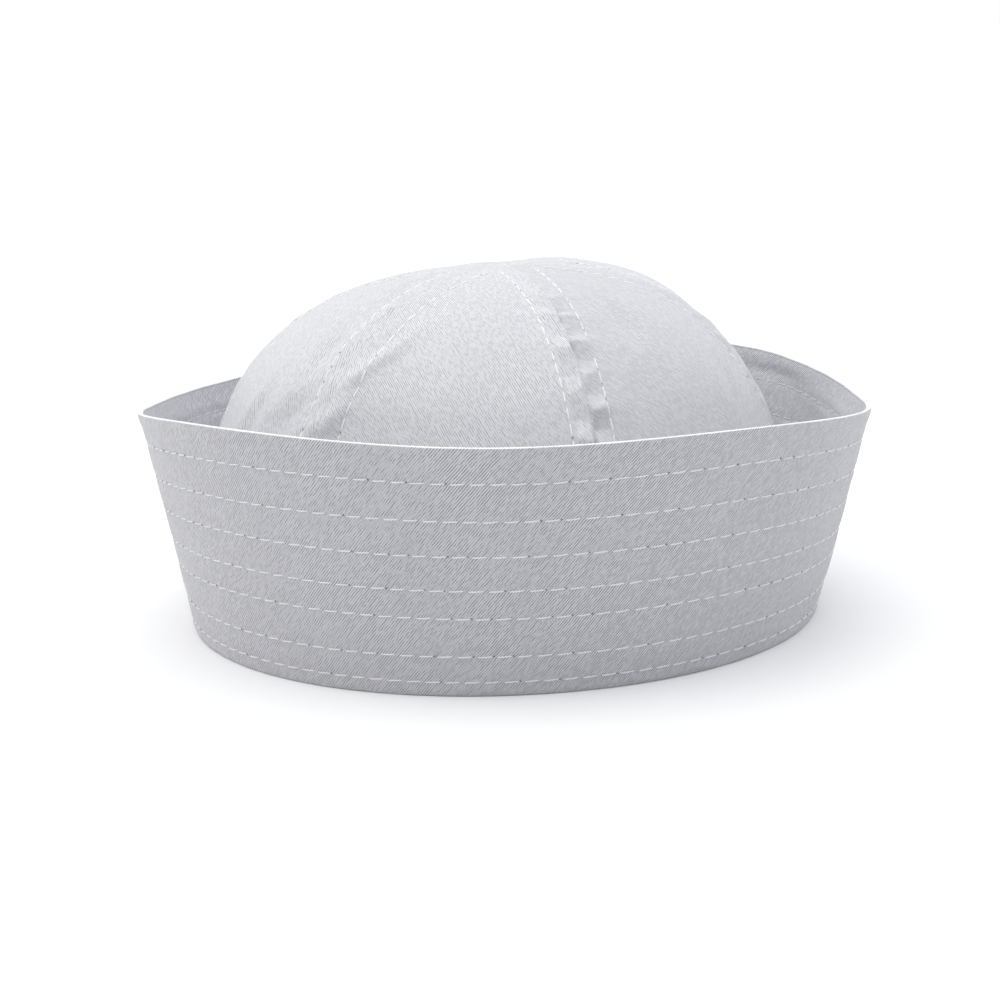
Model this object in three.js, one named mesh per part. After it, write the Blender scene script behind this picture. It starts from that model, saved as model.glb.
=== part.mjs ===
// A white cotton sailor cap lying on its lower fold: a six-gore crown inside a tall turned-up brim.
// The brim is two plies of cloth. The outer ply folds over at the top and turns in under the crown.
//
// Millimetres, +Z up. The origin is the centre of the ring that the cap rests on.
// Azimuth is 0 at the front (-Y) and grows towards +X, so 90 degrees is the +X side.

import * as THREE from 'three';

// Driving dimensions

const headWidth = 191.6;        // inside, across the crown's lower edge: 587 all round
const ovalShare = 0.95;         // depth of the head oval over its width
const crownHeight = 109;        // floor to the top of the crown
const crownWall = 1.2;          // gore cloth with its backing
const crownLean = 3;            // how far the top leans towards +X
const crownFlatness = 2.85;     // exponent of the crown's rise: 2 is a round dome, more is flatter
const gorePinch = 0.3;          // 0 keeps the dome round, 1 makes each gore flat from seam to seam
const dentDepth = 3;            // usual depth of a hollow in the gores
const seamHeight = 0.7;         // how far a sewn seam stands above the gores
const seamWidth = 12;           // width of the flat-felled seam band
const brimHeight = 72;          // mean height of the turned-up brim
const brimFlare = 16;           // mean outward lean of the brim at its top edge
const brimPly = 1.0;            // each of the brim's two plies
const footSwell = 3;            // most that the lower fold swells out from under the crown
const creaseDepth = 2.5;        // deepest crease in the brim
const foldRadius = 0.8;         // rounding of the lower fold
const clearance = 0.3;          // gap between sewn pieces
const tipShare = 1.2;           // how far a gore's point stays from the top's middle, in clearances

// Mesh density

const columnAngle = 5;          // degrees between the columns of every ring
const goreRows = 12;
const brimRows = 5;
const edgeSteps = 4;            // steps round the brim's top edge

// The brim by azimuth, one row each 30 degrees from the front.
// height, flare and foot are shares of brimHeight, brimFlare and footSwell.

const brimTable = [
  { height: 1.01, flare: 0.95, foot: 0.2 },
  { height: 1.04, flare: 1.12, foot: 0.0 },
  { height: 0.965, flare: 1.13, foot: 0.0 },
  { height: 0.865, flare: 0.90, foot: 0.0 },
  { height: 0.96, flare: 0.94, foot: 0.0 },
  { height: 1.0, flare: 0.99, foot: 0.1 },
  { height: 0.975, flare: 1.02, foot: 0.2 },
  { height: 0.93, flare: 1.02, foot: 0.1 },
  { height: 0.88, flare: 1.02, foot: 0.0 },
  { height: 0.91, flare: 0.93, foot: 0.0 },
  { height: 1.025, flare: 0.53, foot: 0.6 },
  { height: 1.035, flare: 0.46, foot: 0.8 },
];

// Soft creases across the brim. rise is the share of the brim's height, depth a share of creaseDepth,
// and slope is how many degrees the crease runs round the cap over the brim's full height.

const brimCreases = [
  { azimuth: 118, wide: 9, slope: 38, rise: 0.82, tall: 0.22, depth: 1.0 },
  { azimuth: 96, wide: 7, slope: -20, rise: 0.72, tall: 0.25, depth: -0.6 },
  { azimuth: 236, wide: 12, slope: 25, rise: 0.75, tall: 0.3, depth: 0.6 },
  { azimuth: 52, wide: 14, slope: 0, rise: 0.35, tall: 0.4, depth: 0.3 },
  { azimuth: 300, wide: 16, slope: 10, rise: 0.4, tall: 0.4, depth: -0.35 },
];

// The crown by azimuth, one row each 60 degrees, and the azimuth of the seam near each row.
// shoulder is the exponent that squares the crown's side to its top, and fullness is how far the
// middle of the side stands out, as a share of the reach.

const crownStart = 20;
const crownTable = [
  { seam: 17, shoulder: 2.2, fullness: 0.0 },
  { seam: 86, shoulder: 1.95, fullness: -0.06 },
  { seam: 145, shoulder: 3.45, fullness: -0.03 },
  { seam: 203, shoulder: 1.95, fullness: 0.0 },
  { seam: 262, shoulder: 2.75, fullness: 0.03 },
  { seam: 322, shoulder: 2.55, fullness: 0.02 },
];

// Hollows and swells in the gores. rise is the share of the crown's height, and depth a share of
// dentDepth, negative where the cloth swells out.

const crownDents = [
  { azimuth: 31, wide: 8, rise: 0.78, tall: 0.12, depth: 0.9 },
  { azimuth: 52, wide: 10, rise: 0.72, tall: 0.2, depth: -0.5 },
  { azimuth: 332, wide: 11, rise: 0.62, tall: 0.25, depth: 1.0 },
  { azimuth: 308, wide: 10, rise: 0.72, tall: 0.22, depth: -0.8 },
  { azimuth: 0, wide: 12, rise: 0.5, tall: 0.22, depth: -0.5 },
  { azimuth: 275, wide: 12, rise: 0.5, tall: 0.2, depth: 0.8 },
  { azimuth: 96, wide: 16, rise: 0.8, tall: 0.16, depth: 1.5 },
  { azimuth: 88, wide: 16, rise: 0.5, tall: 0.25, depth: 0.6 },
  { azimuth: 116, wide: 12, rise: 0.55, tall: 0.25, depth: 0.5 },
  { azimuth: 108, wide: 26, rise: 0.97, tall: 0.1, depth: -1.4 },
  { azimuth: 172, wide: 16, rise: 0.7, tall: 0.25, depth: 0.8 },
  { azimuth: 228, wide: 14, rise: 0.55, tall: 0.25, depth: 0.6 },
];

// Sizes worked out from the above

const goreCount = crownTable.length;
const brimThickness = 2 * brimPly + clearance;
const innerPlyInside = crownWall + clearance;
const outerPlyInside = innerPlyInside + brimPly + clearance;
const outerPlyOutside = innerPlyInside + brimThickness;
const wallFoot = brimPly + clearance;
const edgeRadius = brimThickness / 2;
const halfWidth = headWidth / 2;
const halfDepth = halfWidth * ovalShare;

const radians = THREE.MathUtils.degToRad;
const fullTurn = 360; // degrees
const halfTurn = fullTurn / 2;

// Value of one table column at an azimuth: a cubic B-spline, closed on itself, with the rows as its
// control values.
function aroundTable(table, column, azimuth, start) {
  const count = table.length;
  const place = (((azimuth - start) / fullTurn) * count + count) % count;
  const first = Math.floor(place);
  const t = place - first;
  const weights = [
    (1 - t) ** 3 / 6,
    (3 * t ** 3 - 6 * t ** 2 + 4) / 6,
    (-3 * t ** 3 + 3 * t ** 2 + 3 * t + 1) / 6,
    t ** 3 / 6,
  ];
  return weights.reduce((sum, weight, k) => sum + weight * table[(first + k + count - 1) % count][column], 0);
}

// Signed angle from one azimuth to another, from -180 to 180 degrees.
function turn(from, to) {
  return ((((to - from) % fullTurn) + fullTurn + halfTurn) % fullTurn) - halfTurn;
}

// Point of the head oval moved outwards by offset, in plan.
function ovalPoint(azimuth, offset) {
  const angle = radians(azimuth);
  const across = new THREE.Vector2(halfWidth * Math.sin(angle), -halfDepth * Math.cos(angle));
  const outward = new THREE.Vector2(halfDepth * Math.sin(angle), -halfWidth * Math.cos(angle)).normalize();
  return across.addScaledVector(outward, offset);
}

// Crown

// How deep the cloth lies below the smooth dome at a place: the sum of the round dents.
function dentAt(azimuth, rise) {
  return crownDents.reduce((sum, dent) => {
    const aside = turn(dent.azimuth, azimuth) / dent.wide;
    const above = (rise - dent.rise) / dent.tall;
    return sum + dentDepth * dent.depth * Math.exp(-(aside ** 2 + above ** 2));
  }, 0);
}

// Azimuths of the two seams of one gore. The last gore ends at the first seam, a full turn on.
function seamsOf(gore) {
  const next = gore + 1;
  const turns = fullTurn * Math.floor(next / goreCount);
  return [crownTable[gore].seam, crownTable[next % goreCount].seam + turns];
}

// Height of the felled seam above the gore, a low flat hill across the nearest seam.
function seamAt(azimuth, reach) {
  const aside = Math.min(...crownTable.map((row) => Math.abs(turn(row.seam, azimuth))));
  const distance = radians(aside) * halfWidth * reach;
  return seamHeight * Math.exp(-(((2 * distance) / seamWidth) ** 4));
}

// Reach of a flat gore at an azimuth, as a share of the reach at its seams: the straight line from
// seam to seam lies nearest the axis at the gore's middle.
function flatAt(azimuth) {
  const gore = crownTable.findIndex((row, place) => {
    const [first, last] = seamsOf(place);
    const from = (azimuth - first + fullTurn) % fullTurn;
    return from <= last - first;
  });
  const [first, last] = seamsOf(gore);
  const half = (last - first) / 2;
  return Math.cos(radians(half)) / Math.cos(radians(turn(first + half, azimuth)));
}

// Point of the crown. climb runs from 0 at the lower edge to 1 at the top, and inset is the depth
// into the wall. Rise and reach follow a superellipse, the gores flatten it between the seams, and
// the top leans to one side.
function crownPoint(azimuth, climb, inset) {
  const angle = radians(90 * climb);
  const rise = Math.sin(angle) ** (2 / crownFlatness);
  const shoulder = aroundTable(crownTable, 'shoulder', azimuth, crownStart);
  const fullness = aroundTable(crownTable, 'fullness', azimuth, crownStart);
  const reach = Math.max(Math.cos(angle), 0) ** (2 / shoulder);
  const pinch = 1 - gorePinch * (1 - flatAt(azimuth)) * rise;
  const full = 1 + fullness * 4 * rise * (1 - rise);
  const fade = reach * (1 - (1 - rise) ** 4);
  const depth = (dentAt(azimuth, rise) - seamAt(azimuth, reach)) * fade;
  const oval = ovalPoint(azimuth, crownWall - inset - depth * reach);
  const height = crownHeight - wallFoot - inset - depth * (1 - reach);
  const lean = crownLean * rise ** 2;
  return new THREE.Vector3(
    oval.x * reach * pinch * full + lean,
    oval.y * reach * pinch * full,
    wallFoot + height * rise,
  );
}

// One gore as a closed shell between two seams, drawn together to a point at the top.
// Its seam edges stand half the clearance back from the seam on each side.
function goreGeometry(gore) {
  const [first, last] = seamsOf(gore);
  const columns = Math.round((last - first) / columnAngle);
  const skins = [0, crownWall].map((inset) => {
    const rows = [];
    for (let row = 0; row < goreRows; row += 1) {
      const line = [];
      for (let column = 0; column <= columns; column += 1) {
        const azimuth = first + (column * (last - first)) / columns;
        const point = crownPoint(azimuth, row / goreRows, inset);
        const side = column === 0 ? 1 : column === columns ? -1 : 0;
        const along = radians(azimuth);
        point.x += (side * clearance * Math.cos(along)) / 2;
        point.y += (side * clearance * Math.sin(along)) / 2;
        line.push(point);
      }
      rows.push(line);
    }
    const middle = (first + last) / 2;
    const tip = crownPoint(middle, 1, inset);
    tip.x += clearance * tipShare * Math.sin(radians(middle));
    tip.y -= clearance * tipShare * Math.cos(radians(middle));
    return { rows, tip };
  });
  return shellGeometry(skins[0], skins[1]);
}

// Closed mesh from an outer and an inner skin of the same grid, each ending in one point.
function shellGeometry(outer, inner) {
  const positions = [];
  const index = [];
  const rows = outer.rows.length;
  const across = outer.rows[0].length;
  [outer, inner].forEach((skin) => {
    skin.rows.flat().forEach((point) => positions.push(point.x, point.y, point.z));
    positions.push(skin.tip.x, skin.tip.y, skin.tip.z);
  });
  const skinSize = rows * across + 1;
  const at = (skin, row, column) => skin * skinSize + (row === rows ? rows * across : row * across + column);
  for (let row = 0; row < rows; row += 1) {
    for (let column = 0; column < across - 1; column += 1) {
      [0, 1].forEach((skin) => {
        const a = at(skin, row, column);
        const b = at(skin, row, column + 1);
        const c = at(skin, row + 1, column + 1);
        const d = at(skin, row + 1, column);
        addTriangle(index, skin === 0, a, b, c);
        if (row + 1 < rows) {
          addTriangle(index, skin === 0, a, c, d);
        }
      });
    }
    [0, across - 1].forEach((column) => {
      const onRight = column > 0;
      addTriangle(index, onRight, at(0, row, column), at(1, row, column), at(0, row + 1, column));
      addTriangle(index, onRight, at(1, row, column), at(1, row + 1, column), at(0, row + 1, column));
    });
  }
  for (let column = 0; column < across - 1; column += 1) {
    addTriangle(index, true, at(0, 0, column), at(1, 0, column), at(0, 0, column + 1));
    addTriangle(index, true, at(1, 0, column), at(1, 0, column + 1), at(0, 0, column + 1));
  }
  return meshGeometry(positions, index);
}

// Brim

// How far a crease pushes the brim out at a place.
function creaseAt(azimuth, rise) {
  return brimCreases.reduce((sum, crease) => {
    const aside = (turn(crease.azimuth, azimuth) - crease.slope * (rise - crease.rise)) / crease.wide;
    const above = (rise - crease.rise) / crease.tall;
    return sum + creaseDepth * crease.depth * Math.exp(-(aside ** 2 + above ** 2));
  }, 0);
}

// Point of the brim: offset counts outwards from the head oval, the wall leans outwards in
// proportion to its height, and only what lies outside the crown swells out at the foot.
function brimPoint(azimuth, offset, height) {
  const rise = height / topAt(azimuth);
  const flare = aroundTable(brimTable, 'flare', azimuth, 0) * brimFlare;
  const foot = offset < innerPlyInside ? 0 : aroundTable(brimTable, 'foot', azimuth, 0) * footSwell;
  const plan = ovalPoint(azimuth, offset + foot + (flare + creaseAt(azimuth, rise)) * rise);
  return new THREE.Vector3(plan.x, plan.y, height);
}

// Height of the brim's top edge.
function topAt(azimuth) {
  return aroundTable(brimTable, 'height', azimuth, 0) * brimHeight;
}

// Heights of the rows of a wall between two levels, both included.
function wallRows(low, high) {
  return Array.from({ length: brimRows }, (_, row) => low + ((high - low) * row) / (brimRows - 1));
}

// Section of the outer ply: the foot under the crown, the lower fold, the outer face, the folded
// top edge and the inner face down to the foot again.
function outerPlySection(azimuth) {
  const shoulder = topAt(azimuth) - edgeRadius;
  const foldTop = foldRadius * 2;
  const section = [
    [foldRadius / 2, 0],
    [outerPlyOutside - foldRadius, 0],
    [outerPlyOutside - foldRadius / 4, foldRadius * 0.75],
  ];
  wallRows(foldTop, shoulder).forEach((height) => section.push([outerPlyOutside, height]));
  for (let step = 1; step <= edgeSteps; step += 1) {
    const angle = (Math.PI * step) / edgeSteps;
    const middle = outerPlyOutside - edgeRadius;
    section.push([middle + edgeRadius * Math.cos(angle), shoulder + edgeRadius * Math.sin(angle)]);
  }
  wallRows(shoulder, brimPly).forEach((height) => section.push([outerPlyInside, height]));
  section.push([0, brimPly], [0, foldRadius / 2]);
  return section.map(([offset, height]) => brimPoint(azimuth, offset, height));
}

// Section of the inner ply, from above the foot to just below the folded top edge.
function innerPlySection(azimuth) {
  const top = topAt(azimuth) - edgeRadius - clearance;
  const outside = wallRows(wallFoot, top).map((height) => [innerPlyInside + brimPly, height]);
  const inside = wallRows(top, wallFoot).map((height) => [innerPlyInside, height]);
  return [...outside, ...inside].map(([offset, height]) => brimPoint(azimuth, offset, height));
}

// Closed ring from a section that is worked out afresh at each azimuth. Each four-sided patch is split
// from its lower corner to the next column's upper one, so that facing plies bend along the same lines.
function ringGeometry(sectionAt) {
  const columns = Math.round(fullTurn / columnAngle);
  const positions = [];
  const index = [];
  let size = 0;
  for (let column = 0; column < columns; column += 1) {
    const section = sectionAt((column * fullTurn) / columns);
    size = section.length;
    section.forEach((point) => positions.push(point.x, point.y, point.z));
  }
  for (let column = 0; column < columns; column += 1) {
    const here = column * size;
    const next = ((column + 1) % columns) * size;
    for (let place = 0; place < size; place += 1) {
      const after = (place + 1) % size;
      const climbs = positions[3 * (here + after) + 2] >= positions[3 * (here + place) + 2];
      const hereEnd = here + (climbs ? place : after);
      const nextEnd = next + (climbs ? after : place);
      addTriangle(index, true, here + place, next + place, climbs ? nextEnd : hereEnd);
      addTriangle(index, true, climbs ? hereEnd : nextEnd, next + after, here + after);
    }
  }
  return meshGeometry(positions, index);
}

// Adds a triangle, or the same one turned round.
function addTriangle(index, forward, a, b, c) {
  if (forward) {
    index.push(a, b, c);
  } else {
    index.push(a, c, b);
  }
}

function meshGeometry(positions, index) {
  const geometry = new THREE.BufferGeometry();
  geometry.setAttribute('position', new THREE.Float32BufferAttribute(positions, 3));
  geometry.setIndex(index);
  geometry.computeVertexNormals();
  return geometry;
}

// Assembly

const twill = new THREE.MeshStandardMaterial({ color: 0xe9e8ec, roughness: 0.92, metalness: 0 });
const brimTwill = new THREE.MeshStandardMaterial({ color: 0xe2e1e6, roughness: 0.92, metalness: 0 });
const innerTwill = new THREE.MeshStandardMaterial({ color: 0xdddce2, roughness: 0.94, metalness: 0 });

function addPiece(group, name, geometry, material) {
  const piece = new THREE.Mesh(geometry, material);
  piece.name = name;
  group.add(piece);
}

const cap = new THREE.Group();
for (let gore = 0; gore < goreCount; gore += 1) {
  addPiece(cap, `crown_gore_${gore + 1}`, goreGeometry(gore), twill);
}
addPiece(cap, 'brim_outer_ply', ringGeometry(outerPlySection), brimTwill);
addPiece(cap, 'brim_inner_ply', ringGeometry(innerPlySection), innerTwill);

export default cap;
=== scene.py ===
"""White cotton sailor cap, dressed for the render: twill gores, quilted brim and lockstitch thread.

Lengths are metres and angles are degrees. Azimuth is 0 at the front (-Y) and grows towards +X.
A share is a part of a named size, and a rise is a height as a share of the crown's or the brim's.
"""

import math

import bpy
import numpy as np
from mathutils import Matrix, Vector


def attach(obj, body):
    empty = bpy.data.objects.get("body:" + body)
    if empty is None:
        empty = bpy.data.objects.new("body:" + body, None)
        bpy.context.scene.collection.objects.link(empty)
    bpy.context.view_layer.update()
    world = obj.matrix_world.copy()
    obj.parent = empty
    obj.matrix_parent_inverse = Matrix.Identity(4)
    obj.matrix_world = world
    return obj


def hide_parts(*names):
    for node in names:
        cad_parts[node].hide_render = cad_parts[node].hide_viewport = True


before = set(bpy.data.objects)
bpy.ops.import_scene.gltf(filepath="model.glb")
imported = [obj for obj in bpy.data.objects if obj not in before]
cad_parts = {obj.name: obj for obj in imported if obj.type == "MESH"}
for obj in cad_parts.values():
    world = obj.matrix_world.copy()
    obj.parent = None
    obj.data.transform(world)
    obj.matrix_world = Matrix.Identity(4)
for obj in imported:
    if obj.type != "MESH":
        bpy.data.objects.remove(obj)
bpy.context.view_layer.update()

bl_info = {
    "name": "Sailor cap",
    "version": (1, 0, 0),
    "blender": (4, 5, 0),
    "location": "View3D > Sidebar > Sailor cap",
    "description": "Makes a white cotton sailor cap with stitched brim and gored crown",
    "category": "Add Mesh",
}

WAVE_PERIOD = 2 * math.pi / 20  # length of one wave of the Wave Texture node at scale 1
# Each gore's material. Gores 1 and 5 take darker copies of the crown twill, painted shade for the shade that
# falls on them.
GORES = {
    "crown_gore_1": "crown_twill_right_painted_shade",
    "crown_gore_2": "crown_twill_cloth",
    "crown_gore_3": "crown_twill_cloth",
    "crown_gore_4": "crown_twill_cloth",
    "crown_gore_5": "crown_twill_left_painted_shade",
    "crown_gore_6": "crown_twill_cloth",
}

# The brim, one row each 30 degrees from the front: shares of the brim's height, flare and foot swell.
BRIM_HEIGHT, BRIM_FLARE, BRIM_FOOT = np.array([
    (1.01, 0.95, 0.2),
    (1.04, 1.12, 0.0),
    (0.965, 1.13, 0.0),
    (0.865, 0.90, 0.0),
    (0.96, 0.94, 0.0),
    (1.0, 0.99, 0.1),
    (0.975, 1.02, 0.2),
    (0.93, 1.02, 0.1),
    (0.88, 1.02, 0.0),
    (0.91, 0.93, 0.0),
    (1.025, 0.53, 0.6),
    (1.035, 0.46, 0.8),
]).T

# Soft creases across the brim: azimuth, width, slope in degrees over the brim's height, rise,
# height as a share of the brim's, and depth as a share of the crease depth.
BRIM_CREASES = (
    (118, 9, 38, 0.82, 0.22, 1.0),
    (96, 7, -20, 0.72, 0.25, -0.6),
    (236, 12, 25, 0.75, 0.3, 0.6),
    (52, 14, 0, 0.35, 0.4, 0.3),
    (300, 16, 10, 0.4, 0.4, -0.35),
    (124, 9, 0, 0.9, 0.03, 0.45),
    (121, 12, 0, 0.955, 0.035, -0.2),
)

# Azimuth where the brim's two ends meet.
BRIM_JOIN = 178

# Rows of stitches round the brim, as rises.
BRIM_ROWS = (0.06, 0.166, 0.322, 0.435, 0.572, 0.711, 0.858)

# The crown, one row each 60 degrees: the azimuth of the seam near each row, the exponent that
# squares the side to the top, and how far the side's middle stands out, as a share of the reach.
CROWN_START = 20
CROWN_SEAM, CROWN_SHOULDER, CROWN_FULLNESS = np.array([
    (17, 2.2, 0.0),
    (86, 1.95, -0.06),
    (145, 3.45, -0.03),
    (203, 1.95, 0.0),
    (262, 2.75, 0.03),
    (322, 2.55, 0.02),
]).T

# Puckers beside each crown seam, left of it and right of it: shares of the pucker depth and pitch,
# how far up the first pucker starts, as a share of its pitch, and how softly it ends at the seam.
SEAM_PUCKERS = (
    ((0.9, 1.51, 0.05, 2.0), (1.0, 1.143, 0.35, 1.0)),
    ((0.25, 1.3, 0.4, 3.0), (0.25, 1.5, 0.0, 3.0)),
    ((0.5, 1.0, 0.2, 1.2), (0.4, 1.2, 0.7, 1.8)),
    ((0.6, 1.3, 0.5, 1.8), (0.8, 1.05, 0.2, 1.2)),
    ((0.15, 1.4, 0.8, 3.0), (0.15, 1.5, 0.35, 3.0)),
    ((0.5, 1.5, 0.3, 5.0), (0.15, 1.7, 0.75, 5.0)),
)

# Hollows and swells in the gores: azimuth, width, rise, height as a share of the crown's, and depth
# as a share of the dent depth, negative where the cloth swells out.
CROWN_DENTS = (
    (31, 8, 0.78, 0.12, 0.9),
    (44, 15, 0.92, 0.1, -1.6),
    (355, 14, 0.92, 0.09, -1.0),
    (332, 11, 0.62, 0.25, 1.0),
    (308, 10, 0.72, 0.22, -0.8),
    (0, 12, 0.5, 0.22, -0.5),
    (275, 12, 0.5, 0.2, 0.8),
    (96, 16, 0.8, 0.16, 1.5),
    (88, 16, 0.5, 0.25, 0.6),
    (116, 12, 0.55, 0.25, 0.5),
    (108, 26, 0.97, 0.1, -1.4),
    (172, 16, 0.7, 0.25, 0.8),
    (228, 14, 0.55, 0.25, 0.6),
)

# Soft folds that the seams pull into the gores: azimuth, width, slope in degrees over the crown's
# height, rise, height as a share of the crown's, and how far out as a share of the fold height.
CROWN_FOLDS = (
    (328, 2.6, 78, 0.81, 0.07, 1.1),
    (323.5, 2.8, 34, 0.68, 0.06, 0.8),
    (312.5, 3.5, 30, 0.67, 0.06, -0.8),
    (311, 2.6, -20, 0.82, 0.05, -0.9),
    (316.5, 2.4, -20, 0.83, 0.06, 0.7),
    (300, 2.4, 5, 0.66, 0.09, -0.5),
    (296, 2.6, 5, 0.64, 0.1, 0.7),
    (305, 5, -160, 0.95, 0.035, 0.6),
    (39, 5, 20, 0.875, 0.05, -1.3),
    (34, 2.4, 30, 0.8, 0.07, 0.6),
    (60, 4, 15, 0.66, 0.1, 0.5),
    (66, 3, 15, 0.68, 0.1, -0.5),
    (93, 3, -20, 0.7, 0.1, 0.8),
    (78, 3, 25, 0.75, 0.1, -0.7),
    (137, 3, 30, 0.72, 0.1, 0.9),
    (153, 3, -30, 0.8, 0.09, -0.9),
    (196, 3, 25, 0.7, 0.1, 1.0),
    (211, 3, -35, 0.78, 0.08, -1.0),
    (255, 3, 20, 0.68, 0.1, -0.6),
    (270, 3, -20, 0.74, 0.1, 0.6),
)

# How light each cloth is, as a share of its colour. The darker left and right gores are painted shade: darker
# copies of the crown twill that stand in for the shade that falls on those gores.
CROWN_SHADES = {"crown_twill_cloth": 1.0, "crown_twill_left_painted_shade": 0.98, "crown_twill_right_painted_shade": 0.95}
# The brim lining's share above 1 is painted light: a lighter copy of the brim twill that stands in for light
# shining through the thin cloth onto the inside of the brim.
BRIM_SHADES = {"brim_twill_cloth": 1.0, "brim_lining_painted_light_cloth": 1.19}

# How light each thread is, as a share of the thread colour: worn thread is greyer.
THREAD_SHADES = {"seam_thread": 1.0, "brim_thread": 0.82, "bobbin_thread": 0.76}

# The soft lights: azimuth, height above the horizon, strength, and share of the cool tint. One hangs
# overhead, three low down and four half-way up, where the left pair is stronger than the right.
SOFT_LIGHTS = (
    ("light_above", 0, 90, 0.95, 0.0),
    ("light_low_right", 90, 15, 1.1, 1.0),
    ("light_low_behind", 180, 15, 0.85, 0.5),
    ("light_low_left", 270, 15, 1.1, 0.0),
    ("light_right_front", 45, 50, 0.55, 1.0),
    ("light_right_behind", 135, 50, 0.55, 0.5),
    ("light_left_behind", 225, 50, 0.9, 0.0),
    ("light_left_front", 315, 50, 0.9, 0.0),
)


# Sizes and colours that a user would change


def length(label, text, default):
    """Property for a length in metres."""
    return bpy.props.FloatProperty(
        name=label, description=text, default=default, min=0.0, unit="LENGTH", precision=4
    )


def share(label, text, default):
    """Property for a plain number, such as a share or an exponent."""
    return bpy.props.FloatProperty(name=label, description=text, default=default, min=0.0, precision=3)


def colour(label, text, default):
    """Property for a colour."""
    return bpy.props.FloatVectorProperty(
        name=label, description=text, default=default, size=3, min=0.0, max=1.0, subtype="COLOR"
    )


class CrownSizes(bpy.types.PropertyGroup):
    """Sizes of the crown and of its seams."""

    head_width: length("Head width", "Inside width of the crown's lower edge", 0.1916)
    oval_share: share("Oval share", "Depth of the head oval over its width", 0.95)
    height: length("Height", "Floor to the top of the crown", 0.1088)
    wall: length("Wall", "Gore cloth with its backing", 0.0012)
    lean: length("Lean", "How far the top leans towards +X", 0.003)
    flatness: share("Flatness", "Exponent of the rise: 2 is a round dome, more is flatter", 2.85)
    gore_pinch: share("Gore pinch", "0 keeps the dome round, 1 makes each gore flat", 0.3)
    dent_depth: length("Dent depth", "Deepest hollow in the gores", 0.003)
    fold_height: length("Fold height", "Height of the folds that the seams pull into the gores", 0.0026)
    ripple_depth: length("Ripple depth", "Height of the cloth's soft waves", 0.0005)
    seam_height: length("Seam height", "How far a sewn seam stands above the gores", 0.0007)
    seam_width: length("Seam width", "Between the two stitch rows of a seam", 0.0125)
    seam_groove: length("Seam groove", "Depth of the line where two gores meet", 0.00018)
    pucker_depth: length("Pucker depth", "Height of the puckers beside a seam", 0.0024)
    pucker_pitch: length("Pucker pitch", "Length of one pucker along the seam", 0.0098)
    stitch_pitch: length("Stitch pitch", "Length of one stitch with its gap", 0.005)


class BrimSizes(bpy.types.PropertyGroup):
    """Sizes of the turned-up brim."""

    height: length("Height", "Mean height of the turned-up brim", 0.072)
    flare: length("Flare", "Mean outward lean at the top edge", 0.016)
    ply: length("Ply", "Each of the brim's two plies", 0.001)
    edge_pinch: length("Edge pinch", "How much thinner the brim is at its folded top edge", 0.0011)
    foot_swell: length("Foot swell", "Most that the lower fold swells out", 0.003)
    crease_depth: length("Crease depth", "Deepest crease in the brim", 0.0025)
    fold_radius: length("Fold radius", "Rounding of the lower fold", 0.0008)
    clearance: length("Clearance", "Gap between sewn pieces", 0.0003)
    ripple_depth: length("Ripple depth", "Height of the cloth's soft waves", 0.0005)
    row_depth: length("Row depth", "How deep a row of stitches draws the cloth in", 0.00028)
    edge_roll: length("Edge roll", "Swelling of the cloth below the top edge", 0.00035)
    stitch_pitch: length("Stitch pitch", "Length of one stitch with its gap", 0.0055)


class ThreadSizes(bpy.types.PropertyGroup):
    """Sizes of the lockstitch thread, alike on the crown and the brim."""

    width: length("Width", "Width of a stitch", 0.00056)
    lift: length("Lift", "How far a stitch stands out of the cloth", 0.00024)
    dash_share: share("Dash share", "Part of the stitch pitch that shows as thread", 0.82)
    tilt: length("Tilt", "How much one end of a stitch is higher than the other", 0.0003)
    hole: length("Hole", "Width of a needle hole", 0.00066)


class CapColours(bpy.types.PropertyGroup):
    """Colours of the cloth, the thread and the floor."""

    crown: colour("Crown cloth", "Twill of the gores", (0.815, 0.82, 0.852))
    # The brim's twill is darker than the crown's, and part of this is painted shade: it stands in for the
    # dimmer light on the brim's upright face.
    brim: colour("Brim cloth", "Twill of the brim", (0.646, 0.644, 0.684))
    thread: colour("Thread", "Sewing thread", (0.98, 0.98, 0.99))
    # Painted shade: the dark colour of the pods that stand in for the shadow inside a needle hole.
    hole: colour("Needle hole", "Shade inside a needle hole", (0.16, 0.15, 0.17))
    floor: colour("Floor", "Plain pale floor", (0.95, 0.95, 0.95))


class StageSizes(bpy.types.PropertyGroup):
    """Place of the camera and reach of the floor."""

    camera_distance: length("Camera distance", "Camera to the middle of the view", 0.6394)
    camera_pitch: bpy.props.FloatProperty(
        name="Camera pitch", description="Angle below the horizon", default=0.2307, subtype="ANGLE"
    )
    camera_roll: bpy.props.FloatProperty(
        name="Camera roll", description="Turn about the line of sight", default=-0.0284, subtype="ANGLE"
    )
    camera_aim: bpy.props.FloatVectorProperty(
        name="Camera aim", description="Middle of the view", default=(-0.001035, 0.0, 0.03361), subtype="XYZ"
    )
    camera_lens: share("Camera lens", "Focal length in millimetres", 71.84)
    floor_reach: length("Floor reach", "Half the width of the floor", 40.0)
    light_width: bpy.props.FloatProperty(
        name="Light width", description="Angle that each soft light fills", default=1.5708, subtype="ANGLE"
    )


# Numbers on a grid


def smooth_step(low, high, value):
    """0 below low, 1 above high and a smooth cubic between them."""
    t = np.clip((value - low) / (high - low), 0.0, 1.0)
    return t * t * (3.0 - 2.0 * t)


def hill(distance, width):
    """Bell curve, 1 at no distance and about a third at one width."""
    return np.exp(-((distance / width) ** 2))


def turn(start, end):
    """Signed angle from one azimuth to another, from -180 to 180 degrees."""
    return np.mod(end - start + 180.0, 360.0) - 180.0


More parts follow.
